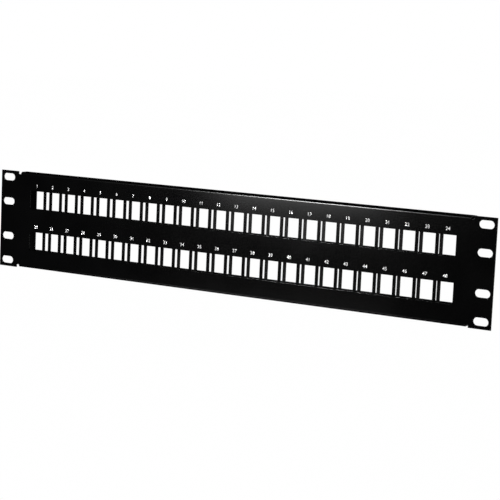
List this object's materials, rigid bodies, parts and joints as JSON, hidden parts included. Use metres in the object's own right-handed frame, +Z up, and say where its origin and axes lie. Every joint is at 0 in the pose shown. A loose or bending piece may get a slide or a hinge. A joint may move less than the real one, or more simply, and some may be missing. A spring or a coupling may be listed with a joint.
{
  "type": "patch panel",
  "caption": "Black two-unit 19-inch rack panel with two rows of empty rectangular jack openings, flanged long edges, slotted rack ears and a matching flat rear plate.",
  "frame": {"origin": "middle of the panel, on the back face of the rack ears, where they meet the rack rails", "axes": "+X to the right seen from the front, +Y back into the rack, +Z up; the front face looks along -Y"},
  "size_m": [0.4826, 0.0137, 0.0882],
  "materials": {
    "panel_powder_coat": "satin black powder coat, fine orange peel",
    "plate_powder_coat": "satin black powder coat",
    "stud_steel": "weld stud, clear zinc plate",
    "washer_zinc": "clear zinc plate",
    "nut_zinc": "clear zinc plate",
    "print_white": "matt white screen-printed ink, used only by the printed port numbers of the visual model"
  },
  "bodies": {
    "root": {"front_panel": "panel_powder_coat", "rear_plate": "plate_powder_coat", "upper_studs": "stud_steel", "lower_studs": "stud_steel", "upper_washers": "washer_zinc", "lower_washers": "washer_zinc", "upper_nuts": "nut_zinc", "lower_nuts": "nut_zinc"}
  },
  "joints": []
}
